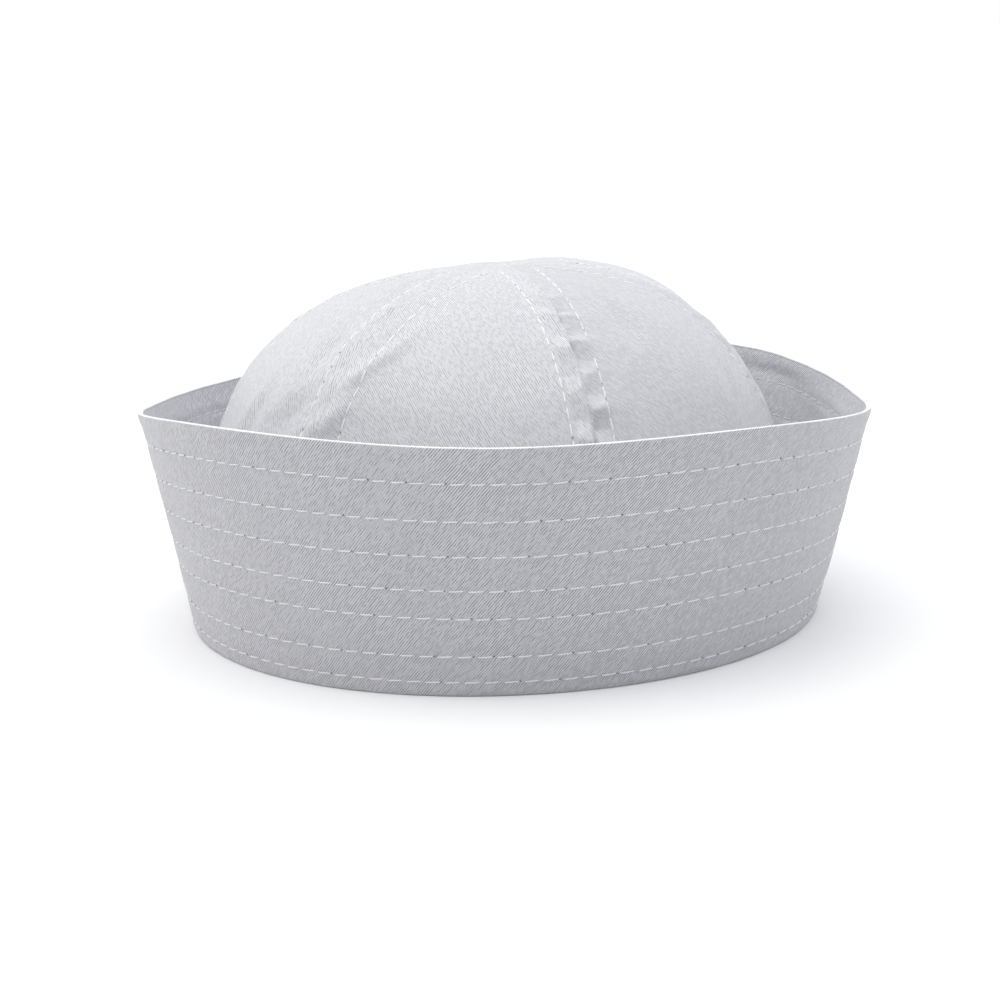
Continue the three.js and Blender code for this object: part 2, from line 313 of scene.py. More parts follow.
def spline_weights(t):
    """Weights of the four neighbours in a uniform cubic B-spline at t between 0 and 1."""
    return (
        (1 - t) ** 3 / 6,
        (3 * t**3 - 6 * t**2 + 4) / 6,
        (-3 * t**3 + 3 * t**2 + 3 * t + 1) / 6,
        t**3 / 6,
    )


def around(values, azimuth, start=0.0):
    """Cubic B-spline through the azimuths, closed on itself, with the values as control values."""
    count = len(values)
    place = np.mod((azimuth - start) / 360.0 * count, count)
    first = np.floor(place).astype(int)
    weights = spline_weights(place - first)
    return sum(weight * values[(first + k - 1) % count] for k, weight in enumerate(weights))


def ripple(azimuth, rise, cells_round, cells_up, seed):
    """Smooth random waves from about -1 to 1: a seeded lattice blended by cubic B-splines.

    The lattice closes on itself round the cap, and has cells_up cells from rise 0 to 1.
    """
    lattice = np.random.default_rng(seed).uniform(-1.6, 1.6, (cells_up + 4, cells_round))
    across = np.mod(azimuth / 360.0 * cells_round, cells_round)
    up = np.clip(rise, 0.0, 1.0) * cells_up
    column, row = np.floor(across).astype(int), np.floor(up).astype(int)
    total = 0.0
    for i, row_weight in enumerate(spline_weights(up - row)):
        for j, column_weight in enumerate(spline_weights(across - column)):
            total = total + row_weight * column_weight * lattice[row + i, (column + j - 1) % cells_round]
    return total


def oval(crown, azimuth, offset):
    """Point in plan of the head oval, moved outwards by offset: x across and y along."""
    angle = np.radians(azimuth)
    wide = crown.head_width / 2
    deep = wide * crown.oval_share
    out_x, out_y = deep * np.sin(angle), -wide * np.cos(angle)
    reach = np.hypot(out_x, out_y)
    return wide * np.sin(angle) + offset * out_x / reach, -deep * np.cos(angle) + offset * out_y / reach


# Crown


def superellipse(crown, azimuth, climb):
    """Rise and reach of the dome at a climb from 0 at the lower edge to 1 at the top.

    Rise is the sine to the power 2 / flatness, and reach the cosine to the power 2 / shoulder.
    """
    angle = np.radians(90.0) * climb
    shoulder = around(CROWN_SHOULDER, azimuth, CROWN_START)
    rise = np.sin(angle) ** (2.0 / crown.flatness)
    reach = np.clip(np.cos(angle), 0.0, 1.0) ** (2.0 / shoulder)
    return rise, reach


def flat_share(azimuth):
    """Reach of a flat gore over that of its seams: least at the middle between two seams."""
    result = np.ones_like(azimuth)
    for first, last in zip(CROWN_SEAM, np.append(CROWN_SEAM[1:], CROWN_SEAM[0] + 360.0)):
        half = (last - first) / 2
        aside = turn(first + half, azimuth)
        inside = np.abs(aside) <= half
        flat = math.cos(math.radians(half)) / np.cos(np.radians(np.clip(aside, -half, half)))
        result = np.where(inside, flat, result)
    return result


def pucker_wave(part):
    """Height from 0 to 1 at a part of a pucker: a long swell to a sharp crest and a short fold back."""
    crest = 0.64
    return np.minimum((part / crest) ** 1.6, ((1.0 - part) / (1.0 - crest)) ** 1.2)


def seam_relief(crown, azimuth, reach, along):
    """How far the cloth stands out beside the seams.

    A flat hill for the seam band, a groove along its middle, a finer one under each stitch row, and
    puckers between the two, left and right of the seam, strongest low on the crown.
    """
    row_place = crown.seam_width / 2
    total = 0.0
    low = 1.0 - smooth_step(0.116, 0.132, along)
    sewn = 1.0 - smooth_step(0.146, 0.156, along)
    for seam, puckers in zip(CROWN_SEAM, SEAM_PUCKERS):
        aside = np.radians(turn(seam, azimuth)) * crown.head_width / 2 * reach
        band = np.exp(-((2 * aside / crown.seam_width) ** 4))
        total = total + crown.seam_height * (0.25 + 0.25 * sewn + 0.5 * low) * band
        total = total - sewn * crown.seam_groove * hill(aside, 0.0006)
        total = total - 0.4 * sewn * crown.seam_height * hill(np.abs(aside) - row_place, 0.0008)
        for side, (depth, pitch, start, soft) in zip((-1.0, 1.0), puckers):
            out = side * aside
            inner_end = smooth_step(0.0, 0.0006 * soft, out)
            window = inner_end * (1.0 - smooth_step(row_place - 0.0008 * soft, row_place, out))
            drag = 0.15 * smooth_step(row_place, row_place + 0.002, out) * hill(out - row_place, 0.007)
            place = along / (crown.pucker_pitch * pitch) - start
            number, part = np.floor(place), np.mod(place, 1.0)
            across = np.clip(out / row_place, 0.0, 1.0)
            part = part + 0.9 * part * (1.0 - part) * (across - 0.5) * np.sin(1.9 * number + seam)
            wave = pucker_wave(part) * (0.88 + 0.24 * np.sin(2.7 * number + seam))
            hollow = 0.45 * (1.0 - wave) ** 2 * (1.0 - across)
            steeper = 1.0 + 0.5 * smooth_step(0.08, 0.105, along)
            shape = (window + drag) * wave - window * hollow
            total = total + crown.pucker_depth * depth * steeper * low * shape
    return total


def crown_points(crown, brim, azimuth, climb, along, inset, relief=1.0):
    """Points of the crown at a depth into its wall.

    The head oval is drawn in by the dome's reach, the gores flatten it between the seams, dents, folds
    and seam relief move it in and out, and the top leans to one side.
    """
    rise, reach = superellipse(crown, azimuth, climb)
    fullness = around(CROWN_FULLNESS, azimuth, CROWN_START)
    pinch = 1.0 - crown.gore_pinch * (1.0 - flat_share(azimuth)) * rise
    full = 1.0 + fullness * 4.0 * rise * (1.0 - rise)
    depth = 0.0
    for place, wide, level, tall, share_of_depth in CROWN_DENTS:
        aside, above = turn(place, azimuth) / wide, (rise - level) / tall
        depth = depth + crown.dent_depth * share_of_depth * np.exp(-(aside**2 + above**2))
    fade = reach * (1.0 - (1.0 - rise) ** 4)
    fine = smooth_step(0.04, 0.3, reach) * (1.0 - (1.0 - rise) ** 12)
    waves = crown.ripple_depth * (ripple(azimuth, rise, 21, 5, 11) + 0.35 * ripple(azimuth, rise, 54, 12, 5))
    for place, wide, slope, level, tall, share_of_height in CROWN_FOLDS:
        aside, above = (turn(place, azimuth) - slope * (rise - level)) / wide, (rise - level) / tall
        waves = waves + crown.fold_height * share_of_height * np.exp(-(aside**2 + above**2))
    depth = depth * fade - relief * fine * (seam_relief(crown, azimuth, reach, along) + waves)
    foot = brim.ply + brim.clearance
    x, y = oval(crown, azimuth, crown.wall - inset - depth * reach)
    tall = crown.height - foot - inset - depth * (1.0 - reach)
    return np.stack(
        [
            x * reach * pinch * full + crown.lean * rise**2,
            y * reach * pinch * full,
            foot + tall * rise,
        ],
        axis=-1,
    )


def crown_rows(crown, brim, count):
    """Climbs of rows up the crown, closest at the puckers, and how far along the cloth each lies."""
    climb = np.linspace(0.0, 1.0, 2001)
    azimuth = np.zeros_like(climb)
    line = crown_points(crown, brim, azimuth, climb, climb, 0.0, relief=0.0)
    steps = np.linalg.norm(np.diff(line, axis=0), axis=-1)
    distance = np.concatenate([[0.0], np.cumsum(steps)])
    spread = np.interp(np.linspace(0.0, 1.0, count), (0.0, 0.14, 0.86, 1.0), (0.0, 0.34, 0.83, 1.0))
    even = spread * distance[-1]
    return np.interp(even, distance, climb), even


def gore_columns(crown, first, last):
    """Azimuths across a gore: close together in the bands of its two seams and wider between them."""
    band = math.degrees(1.4 * crown.seam_width / crown.head_width)
    return np.concatenate([
        np.linspace(first, first + band, 30, endpoint=False),
        np.linspace(first + band, last - band, 38, endpoint=False),
        np.linspace(last - band, last, 31),
    ])


# Brim


def brim_top(brim, azimuth):
    """Height of the brim's top edge."""
    return around(BRIM_HEIGHT, azimuth) * brim.height


def brim_points(crown, brim, azimuth, offset, height):
    """Points of the brim at an offset outwards from the head oval.

    The wall leans outwards in proportion to its height, creases and soft waves move it in and out,
    and what lies outside the crown swells out at the foot.
    """
    rise = height / brim_top(brim, azimuth)
    lean = around(BRIM_FLARE, azimuth) * brim.flare
    for place, wide, slope, level, tall, depth in BRIM_CREASES:
        aside = (turn(place, azimuth) - slope * (rise - level)) / wide
        lean = lean + brim.crease_depth * depth * np.exp(-(aside**2 + ((rise - level) / tall) ** 2))
    under_crown = offset < 0.5 * (crown.wall + brim.clearance)
    foot = np.where(under_crown, 0.0, around(BRIM_FOOT, azimuth) * brim.foot_swell)
    waves = brim.ripple_depth * (ripple(azimuth, rise, 17, 2, 3) + 0.4 * ripple(azimuth, rise, 46, 6, 8))
    x, y = oval(crown, azimuth, offset + foot + lean * rise + waves * smooth_step(0.02, 0.3, rise))
    return np.stack([x, y, height + np.zeros_like(x)], axis=-1)


def row_relief(brim, azimuth, rise):
    """How far the quilted face stands out: drawn in along each stitch row and swelling below the edge."""
    total = 0.0
    for row in BRIM_ROWS:
        total = total - brim.row_depth * hill((rise - row) * brim.height, 0.0011)
    below = (1.0 - rise) * brim.height
    total = total + brim.edge_roll * hill(below - 0.0022, 0.0022)
    return total + 0.00012 * ripple(azimuth, rise, 160, 18, 21)


def outer_face(crown, brim, azimuth, height):
    """Points of the brim's outer face at a height."""
    thick = 2 * brim.ply + brim.clearance
    offset = crown.wall + brim.clearance + thick
    rise = height / brim_top(brim, azimuth)
    return brim_points(crown, brim, azimuth, offset + row_relief(brim, azimuth, rise), height)


def inner_face(crown, brim, azimuth, height, deeper=0.0):
    """Points of the brim's inner face at a height, which the same rows draw in, or deeper in the cloth."""
    offset = crown.wall + brim.clearance + deeper
    top = brim_top(brim, azimuth)
    pinch = brim.edge_pinch * (1.0 - smooth_step(0.0012, 0.007, top - height))
    return brim_points(crown, brim, azimuth, offset + pinch - row_relief(brim, azimuth, height / top), height)


# Meshes


def mesh_piece(name, points, corners, starts, uv):
    """Mesh object from vertices, the corner list of all faces, where each face starts, and corner UVs."""
    mesh = bpy.data.meshes.new(name)
    mesh.vertices.add(len(points))
    mesh.vertices.foreach_set("co", np.ascontiguousarray(points, dtype=np.float32).ravel())
    mesh.loops.add(len(corners))
    mesh.loops.foreach_set("vertex_index", np.ascontiguousarray(corners, dtype=np.int32))
    mesh.polygons.add(len(starts))
    mesh.polygons.foreach_set("loop_start", np.ascontiguousarray(starts, dtype=np.int32))
    mesh.update(calc_edges=True)
    mesh.polygons.foreach_set("use_smooth", np.ones(len(starts), dtype=bool))
    layer = mesh.uv_layers.new(name="cloth")
    layer.data.foreach_set("uv", np.ascontiguousarray(uv, dtype=np.float32).ravel())
    if mesh.validate():
        raise RuntimeError(f"{name}: the mesh has broken faces")
    piece = bpy.data.objects.new(name, mesh)
    bpy.context.scene.collection.objects.link(piece)
    return piece


def quads_between(rows, columns, wrap_rows=False, wrap_columns=False):
    """Corner numbers of the four-sided faces of a grid, and the grid place of each corner.

    The places count on past the last row and column where the grid closes on itself.
    """
    i, j = np.meshgrid(
        np.arange(rows if wrap_rows else rows - 1),
        np.arange(columns if wrap_columns else columns - 1),
        indexing="ij",
    )
    i, j = i.ravel(), j.ravel()
    up = np.stack([i, i, i + 1, i + 1], axis=1)
    across = np.stack([j, j + 1, j + 1, j], axis=1)
    return (up % rows) * columns + across % columns, up, across


def ring_piece(name, section, u, v):
    """Closed ring from a grid of points, rows round the section and columns round the cap.

    u is the cloth's length at each column and one past the last, and v that at each row.
    """
    rows, columns = section.shape[:2]
    corners, up, across = quads_between(rows, columns, wrap_rows=True, wrap_columns=True)
    uv = np.stack([u[across], np.append(v, v[0])[up]], axis=-1)
    starts = np.arange(len(corners)) * 4
    return mesh_piece(name, section.reshape(-1, 3), corners.ravel(), starts, uv.reshape(-1, 2))


def shell_piece(name, outer, inner, outer_tip, inner_tip, uv):
    """Closed shell from an outer and an inner grid that each end in a tip above their last row."""
    rows, columns = outer.shape[:2]
    size = rows * columns
    points = np.concatenate([outer.reshape(-1, 3), outer_tip[None], inner.reshape(-1, 3), inner_tip[None]])
    flat_uv = np.concatenate([uv.reshape(-1, 2), uv[-1].mean(axis=0)[None]])
    point_uv = np.concatenate([flat_uv, flat_uv])
    quads = quads_between(rows, columns)[0]
    within = size + 1
    last = (rows - 1) * columns + np.arange(columns)
    fan = np.stack([last[:-1], last[1:], np.full(columns - 1, size)], axis=1)
    foot = np.arange(columns)
    foot_quads = np.stack([foot[1:], foot[:-1], foot[:-1] + within, foot[1:] + within], axis=1)
    left = np.append(np.arange(rows) * columns, size)
    right = np.append(np.arange(rows) * columns + columns - 1, size)
    left_quads = np.stack([left[:-1], left[1:], left[1:] + within, left[:-1] + within], axis=1)
    right_quads = np.stack([right[1:], right[:-1], right[:-1] + within, right[1:] + within], axis=1)
    fours = np.concatenate([quads, quads[:, ::-1] + within, foot_quads, left_quads, right_quads])
    threes = np.concatenate([fan, fan[:, ::-1] + within])
    corners = np.concatenate([fours.ravel(), threes.ravel()])
    starts = np.concatenate([np.arange(len(fours)) * 4, fours.size + np.arange(len(threes)) * 3])
    return mesh_piece(name, points, corners, starts, point_uv[corners])


def ring_places(rings):
    """Places of a pod's rings from -1 to 1, closest together near the two ends."""
    return np.sin(np.linspace(-90.0, 90.0, rings) * math.pi / 180.0)


def dash_piece(name, centre, along, out, half_wide, half_tall):
    """Many small pods joined in one mesh: rings round a centre line, drawn to a point at each end.

    centre holds the middle of each ring for each pod, along and out the directions of the line and
    of the cloth's outside, and the two sizes are those of the widest ring.
    """
    pods, rings = centre.shape[:2]
    sides = 6
    angle = np.arange(sides) * 2 * np.pi / sides
    taper = np.sqrt(1.0 - ring_places(rings) ** 6)
    across = np.cross(out, along)
    ring = (
        centre[:, 1:-1, None]
        + across[:, 1:-1, None] * (half_wide * np.cos(angle) * taper[1:-1, None])[None, ..., None]
        + out[:, 1:-1, None] * (half_tall * np.sin(angle) * taper[1:-1, None])[None, ..., None]
    )
    inside = rings - 2
    block = inside * sides + 2
    points = np.concatenate([ring.reshape(pods, -1, 3), centre[:, :1], centre[:, -1:]], axis=1)
    i, j = np.meshgrid(np.arange(inside - 1), np.arange(sides), indexing="ij")
    i, j = i.ravel(), j.ravel()
    k = (j + 1) % sides
    fours = np.stack([i * sides + j, i * sides + k, (i + 1) * sides + k, (i + 1) * sides + j], axis=1)
    j = np.arange(sides)
    k = (j + 1) % sides
    start, end = block - 2, block - 1
    top = (inside - 1) * sides
    threes = np.concatenate([
        np.stack([np.full(sides, start), k, j], axis=1),
        np.stack([np.full(sides, end), top + j, top + k], axis=1),
    ])
    shift = (np.arange(pods) * block)[:, None, None]
    all_fours, all_threes = (fours[None] + shift).reshape(-1, 4), (threes[None] + shift).reshape(-1, 3)
    corners = np.concatenate([all_fours.ravel(), all_threes.ravel()])
    starts = np.concatenate([np.arange(len(all_fours)) * 4, all_fours.size + np.arange(len(all_threes)) * 3])
    length_along = np.linalg.norm(centre[:, 1:-1] - centre[:, :1], axis=-1)
    ring_uv = np.stack(
        np.broadcast_arrays(length_along[..., None], half_wide * angle[None, None]), axis=-1
    ).reshape(pods, -1, 2)
    end_uv = np.zeros((pods, 2, 2))
    end_uv[:, 1, 0] = np.linalg.norm(centre[:, -1] - centre[:, 0], axis=-1)
    uv = np.concatenate([ring_uv, end_uv], axis=1).reshape(-1, 2)
    return mesh_piece(name, points.reshape(-1, 3), corners, starts, uv[corners])


# Stitches


def stitch_line(surface, parameter, pitch, dash_share, tilt, thread_lift, rings=7):
    """Centre lines, directions and outsides of the stitches along one row.

    surface(parameter, aside) gives points of the cloth, aside metres beside the row. The row is
    walked in steps of one pitch. Each stitch rises from the cloth in an arc, and its far end lies
    tilt further aside than its near end.
    """
    fine = np.linspace(parameter[0], parameter[-1], 3001)
    line = surface(fine, np.zeros_like(fine))
    distance = np.concatenate([[0.0], np.cumsum(np.linalg.norm(np.diff(line, axis=0), axis=-1))])
    count = int(distance[-1] / pitch)
    step = distance[-1] / count
    place = ring_places(rings) / 2
    centre_at = (np.arange(count) + 0.5) * step
    at = centre_at[:, None] + place[None] * step * dash_share
    where = np.interp(at, distance, fine)
    aside = place[None] * tilt + np.zeros_like(at)
    small = (parameter[-1] - parameter[0]) * 1e-4
    points = surface(where, aside)
    along = surface(where + small, aside) - surface(where - small, aside)
    beside = surface(where, aside + 2e-4) - surface(where, aside - 2e-4)
    along /= np.linalg.norm(along, axis=-1, keepdims=True)
    out = np.cross(along, beside)
    out /= np.linalg.norm(out, axis=-1, keepdims=True)
    arc = thread_lift * (1.25 * np.sqrt(np.clip(np.cos(np.pi * place), 0.0, 1.0)) - 0.75)
    return points + out * arc[None, :, None], along, out


def needle_holes(lines, hole, chance, seed):
    """Pods for the needle holes that show at some gaps: short dark dabs at the end of a stitch, painted shade
    that stands in for the shadow inside each hole.
    """
    rng = np.random.default_rng(seed)
    picked = [rng.random(len(line[0])) < chance for line in lines]
    end, along, out = (
        np.concatenate([line[part][keep, -1] for line, keep in zip(lines, picked)]) for part in range(3)
    )
    size = hole * rng.uniform(0.6, 1.0, len(end))
    reach = ring_places(5)[None, :, None] * size[:, None, None] / 2
    centre = (end + along * hole * 0.3 + out * hole * 0.25)[:, None] + reach * along[:, None]
    return centre, np.repeat(along[:, None], 5, axis=1), np.repeat(out[:, None], 5, axis=1)


def brim_stitches(crown, brim, thread, face, outward):
    """Stitches of all rows on one face of the brim."""
    lines = []
    for row in BRIM_ROWS:

        def surface(azimuth, aside, row=row):
            return face(crown, brim, azimuth, row * brim_top(brim, azimuth) + aside)

        start = 3.0 * math.sin(40.0 * row)
        sweep = np.array([start, start + 360.0]) if outward else np.array([start + 360.0, start])
        lines.append(
            stitch_line(surface, sweep, brim.stitch_pitch, thread.dash_share, thread.tilt, thread.lift)
        )
    return lines


# Materials


def nodes_of(name):
    """New material with a bare shader, and a helper that adds nodes to it."""
    material = bpy.data.materials.new(name)
    material.use_nodes = True
    tree = material.node_tree
    shader = tree.nodes["Principled BSDF"]

    def add(kind, inputs=None, **settings):
        node = tree.nodes.new(kind)
        for key, value in settings.items():
            setattr(node, key, value)
        for key, value in (inputs or {}).items():
            if isinstance(value, bpy.types.NodeSocket):
                tree.links.new(value, node.inputs[key])
            else:
                node.inputs[key].default_value = value
        return node

    return material, tree, shader, add


def twill(name, cloth_colour, pitch, lean, weave_depth, painted_shade_and_grain_depth, grain, cross, sheen, painted_highlight):
    """Cotton twill: diagonal ribs at a pitch and lean, crossed by finer yarns, fuzz and slubs.

    The ribs are a sine wave across the cloth's own UV map, in metres. The yarns cut them into short
    floats, by a share from 0 to cross that noise picks. Noise makes both uneven. The ribs' valleys
    are darker than their tops: painted shade that stands in for the shade in the weave, mixed with
    the yarn's own uneven grain from the fuzz and slubs. Where the cloth faces upwards, as on a folded
    edge, it is lighter by the last argument: a painted highlight that stands in for light from above.
    """
    material, tree, shader, add = nodes_of(name)
    place = add("ShaderNodeUVMap", uv_map="cloth").outputs["UV"]
    solid = add("ShaderNodeTexCoord").outputs["Object"]
    ribs_at = add("ShaderNodeMapping", {"Vector": place, "Rotation": (0, 0, math.radians(lean))})
    yarns_at = add("ShaderNodeMapping", {"Vector": place, "Rotation": (0, 0, math.radians(lean - 68))})
    ribs = add(
        "ShaderNodeTexWave",
        {
            "Vector": ribs_at.outputs[0], "Scale": WAVE_PERIOD / pitch,
            "Distortion": 1.9, "Detail": 3.0, "Detail Scale": 0.4,
        },
    ).outputs["Fac"]
    yarns = add(
        "ShaderNodeTexWave",
        {
            "Vector": yarns_at.outputs[0], "Scale": WAVE_PERIOD / (pitch * 0.62),
            "Distortion": 2.2, "Detail": 3.0, "Detail Scale": 0.4,
        },
    ).outputs["Fac"]
    slubs_at = add("ShaderNodeMapping", {"Vector": ribs_at.outputs[0], "Scale": (1900.0, 480.0, 1.0)})

    def noise(vector, scale, **inputs):
        return add("ShaderNodeTexNoise", {"Vector": vector, "Scale": scale, **inputs}).outputs["Fac"]

    def blend(first, second, share_of_second):
        return add("ShaderNodeMix", {0: share_of_second, 2: first, 3: second}, data_type="FLOAT").outputs[0]

    def ramp(value, low, high, start, end, **settings):
        inputs = {"Value": value, "From Min": low, "From Max": high, "To Min": start, "To Max": end}
        return add("ShaderNodeMapRange", inputs, **settings).outputs[0]

    fuzz = noise(solid, 3000.0, Detail=3.0, Roughness=0.65)
    slubs = noise(slubs_at.outputs[0], 1.0, Detail=1.0)
    clouds = noise(solid, 45.0, Detail=3.0, Roughness=0.55)

    floats = blend(clouds, slubs, 0.65)
    worn = ramp(floats, 0.42, 0.58, 0.0, cross)
    height = blend(blend(ribs, yarns, worn), blend(fuzz, slubs, 0.6), grain)
    # Painted shade, in part: the low parts of the height, the ribs' valleys, come out darker and stand in for
    # the shade in the weave; the fuzz and slubs add the yarn's own uneven grain.
    grain_and_painted_shade = ramp(height, 0.32, 0.66, 1.0 - painted_shade_and_grain_depth, 1.0, interpolation_type="SMOOTHSTEP")
    patchy = ramp(clouds, 0.3, 0.7, 0.97, 1.0)
    shade = add("ShaderNodeMath", {0: grain_and_painted_shade, 1: patchy}, operation="MULTIPLY").outputs[0]
    black, dye = (0.0, 0.0, 0.0, 1.0), (*cloth_colour, 1.0)
    dyed = add("ShaderNodeMix", {0: shade, 6: black, 7: dye}, data_type="RGBA")
    # Painted highlight: where the shading normal faces upwards, as on the brim's folded top edge, the colour
    # is mixed towards near-white and stands in for light from above.
    facing = add("ShaderNodeSeparateXYZ", {0: add("ShaderNodeTexCoord").outputs["Normal"]}).outputs["Z"]
    edge = ramp(facing, 0.4, 0.9, 0.0, painted_highlight, interpolation_type="SMOOTHSTEP")
    with_painted_highlight = add("ShaderNodeMix", {0: edge, 6: dyed.outputs[2], 7: (0.96, 0.96, 0.98, 1.0)}, data_type="RGBA")
    tree.links.new(with_painted_highlight.outputs[2], shader.inputs["Base Color"])
    bump = add("ShaderNodeBump", {"Height": height, "Strength": 1.0, "Distance": weave_depth})
    tree.links.new(bump.outputs[0], shader.inputs["Normal"])
    rough = add("ShaderNodeMapRange", {"Value": fuzz, "To Min": 0.84, "To Max": 0.98})
    tree.links.new(rough.outputs[0], shader.inputs["Roughness"])
    shader.inputs["Specular IOR Level"].default_value = 0.25
    shader.inputs["Sheen Weight"].default_value = sheen
    shader.inputs["Sheen Roughness"].default_value = 0.45
    return material


def twisted_thread(name, thread_colour):
    """Sewing thread: two plies twisted together, shown by a slanting wave along each stitch."""
    material, tree, shader, add = nodes_of(name)
    place = add("ShaderNodeUVMap", uv_map="cloth").outputs["UV"]
    slanted = add("ShaderNodeMapping", {"Vector": place, "Rotation": (0, 0, math.radians(38))})
    plies = add("ShaderNodeTexWave", {"Vector": slanted.outputs[0], "Scale": 0.314 / 0.00045}).outputs["Fac"]
    solid = add("ShaderNodeTexCoord").outputs["Object"]
    lint = add("ShaderNodeTexNoise", {"Vector": solid, "Scale": 3000.0, "Detail": 2.0}).outputs["Fac"]
    mix = tree.nodes.new("ShaderNodeMix")
    mix.data_type = "RGBA"
    tree.links.new(lint, mix.inputs[0])
    mix.inputs[6].default_value = (*[value * 0.94 for value in thread_colour], 1.0)
    mix.inputs[7].default_value = (*thread_colour, 1.0)
    tree.links.new(mix.outputs[2], shader.inputs["Base Color"])
    bump = add("ShaderNodeBump", {"Height": plies, "Strength": 0.8, "Distance": 0.00006})
    tree.links.new(bump.outputs[0], shader.inputs["Normal"])
    shader.inputs["Roughness"].default_value = 0.6
    shader.inputs["Sheen Weight"].default_value = 0.2
    return material


def floor_paint(name, floor_colour):
    """Matt pale paint with the faintest unevenness."""
    material, tree, shader, add = nodes_of(name)
    solid = add("ShaderNodeTexCoord").outputs["Object"]
    specks = add("ShaderNodeTexNoise", {"Vector": solid, "Scale": 12.0, "Detail": 2.0}).outputs["Fac"]
    rough = add("ShaderNodeMapRange", {"Value": specks, "To Min": 0.94, "To Max": 1.0})
    tree.links.new(rough.outputs[0], shader.inputs["Roughness"])
    shader.inputs["Base Color"].default_value = (*floor_colour, 1.0)
    shader.inputs["Specular IOR Level"].default_value = 0.0
    return material


def material_of(name):
    """The named material of this cap, made when it is first asked for."""
    if name in bpy.data.materials:
        return bpy.data.materials[name]
    colours = bpy.context.scene.cap_colours
    if name in CROWN_SHADES:
        shaded = tuple(value * CROWN_SHADES[name] for value in colours.crown)
        return twill(name, shaded, 0.00061, -33, 0.0001, 0.44, 0.62, 0.95, 0.12, 0.0)
    if name in BRIM_SHADES:
        shaded = tuple(value * BRIM_SHADES[name] for value in colours.brim)
        # The brim twill gets a strong painted highlight where it faces upwards. The crown twill gets none.
        return twill(name, shaded, 0.0006, 38, 0.00011, 0.57, 0.55, 0.95, 0.35, 0.9)
    if name in THREAD_SHADES:
        return twisted_thread(name, tuple(value * THREAD_SHADES[name] for value in colours.thread))
    # The needle-hole pods are painted shade: a dark thread material for the shadow inside each hole.
    if name == "needle_hole_painted_shade":
        return twisted_thread(name, tuple(colours.hole))
    raise RuntimeError(f"no material is called {name}")


def finish_piece(piece, material, slot, *nodes):
    """Gives a piece its material, lets it ride with the cap and hides the CAD nodes it replaces."""
    piece.data.materials.append(material_of(material))
    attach(piece, "root")
    if nodes:
        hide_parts(*nodes)


# Operators


class CAP_OT_crown(bpy.types.Operator):
    """Sews the six gores of the crown"""

    bl_idname = "sailor_cap.crown"
    bl_label = "Crown gores"

    def execute(self, context):
        crown, brim = context.scene.cap_crown, context.scene.cap_brim
        climb, along = crown_rows(crown, brim, 187)
        climb, along = climb[:-1, None], along[:-1, None]
        for name, first, last in zip(GORES, CROWN_SEAM, np.append(CROWN_SEAM[1:], CROWN_SEAM[0] + 360.0)):
            azimuth = gore_columns(crown, first, last)[None]
            azimuth, up = np.broadcast_arrays(azimuth, climb)
            along_all = np.broadcast_to(along, azimuth.shape)
            outer = crown_points(crown, brim, azimuth, up, along_all, 0.0)
            inner = crown_points(crown, brim, azimuth, up, along_all, crown.wall, relief=0.5)
            middle = np.array([(first + last) / 2])
            top, tip_along = np.array([1.0]), np.array([along[-1, 0]])
            tips = [
                crown_points(crown, brim, middle, top, tip_along, inset)[0] for inset in (0.0, crown.wall)
            ]
            reach = superellipse(crown, azimuth, up)[1]
            across = np.radians(azimuth - middle) * crown.head_width / 2 * reach
            piece = shell_piece(f"{name}_cloth", outer, inner, *tips, np.stack([across, along_all], axis=-1))
            finish_piece(piece, GORES[name], "crown_twill", name)
        return {"FINISHED"}


